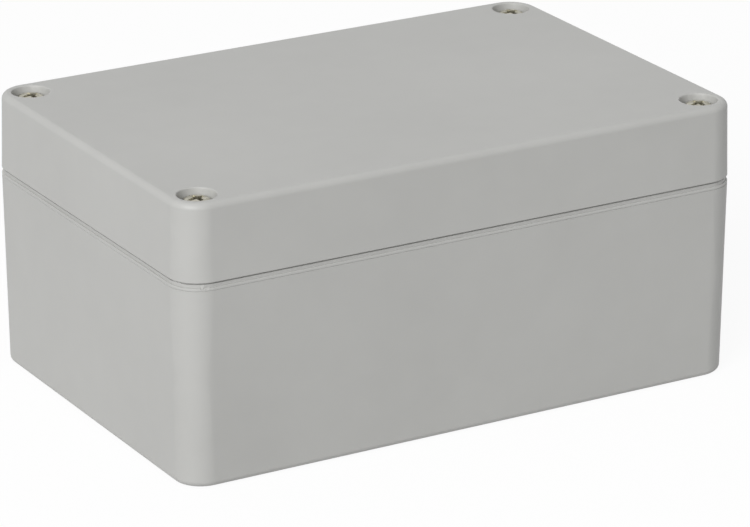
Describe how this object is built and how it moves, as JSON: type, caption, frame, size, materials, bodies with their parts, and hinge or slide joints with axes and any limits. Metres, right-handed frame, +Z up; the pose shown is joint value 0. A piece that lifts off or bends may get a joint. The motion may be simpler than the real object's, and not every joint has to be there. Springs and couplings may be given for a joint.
{
  "type": "screw-lid plastic enclosure with gasket",
  "caption": "Rectangular grey ABS box with a deep base and a shallow lid that seals on a foam gasket and is held by a sunken cross-recess screw in each corner.",
  "frame": {"origin": "centre of the base's underside", "axes": "+X along the long side, +Y along the short side, +Z up from the base through the lid"},
  "size_m": [0.12, 0.08, 0.055],
  "materials": {
    "abs_grey": "light grey moulded ABS, satin",
    "gasket_foam": "beige closed-cell foam, matt",
    "screw_metal": "bright plated steel with a faint yellow cast",
    "insert_brass": "plain turned brass"
  },
  "bodies": {
    "base": {"base": "abs_grey", "insert_front_left": "insert_brass", "insert_front_right": "insert_brass", "insert_back_right": "insert_brass", "insert_back_left": "insert_brass"},
    "lid": {"lid": "abs_grey", "gasket": "gasket_foam"},
    "screw_front_left": {"lid_screw_front_left": "screw_metal"},
    "screw_front_right": {"lid_screw_front_right": "screw_metal"},
    "screw_back_right": {"lid_screw_back_right": "screw_metal"},
    "screw_back_left": {"lid_screw_back_left": "screw_metal"}
  },
  "joints": [
    {"name": "lid_lift", "type": "slide", "parent": "base", "child": "lid", "axis": [0, 0, 1], "range_m": [0, 0.045]},
    {"name": "screw_front_left_out", "type": "slide", "parent": "lid", "child": "screw_front_left", "axis": [0, 0, 1], "range_m": [0, 0.0085]},
    {"name": "screw_front_right_out", "type": "slide", "parent": "lid", "child": "screw_front_right", "axis": [0, 0, 1], "range_m": [0, 0.0085]},
    {"name": "screw_back_right_out", "type": "slide", "parent": "lid", "child": "screw_back_right", "axis": [0, 0, 1], "range_m": [0, 0.0085]},
    {"name": "screw_back_left_out", "type": "slide", "parent": "lid", "child": "screw_back_left", "axis": [0, 0, 1], "range_m": [0, 0.0085]}
  ]
}
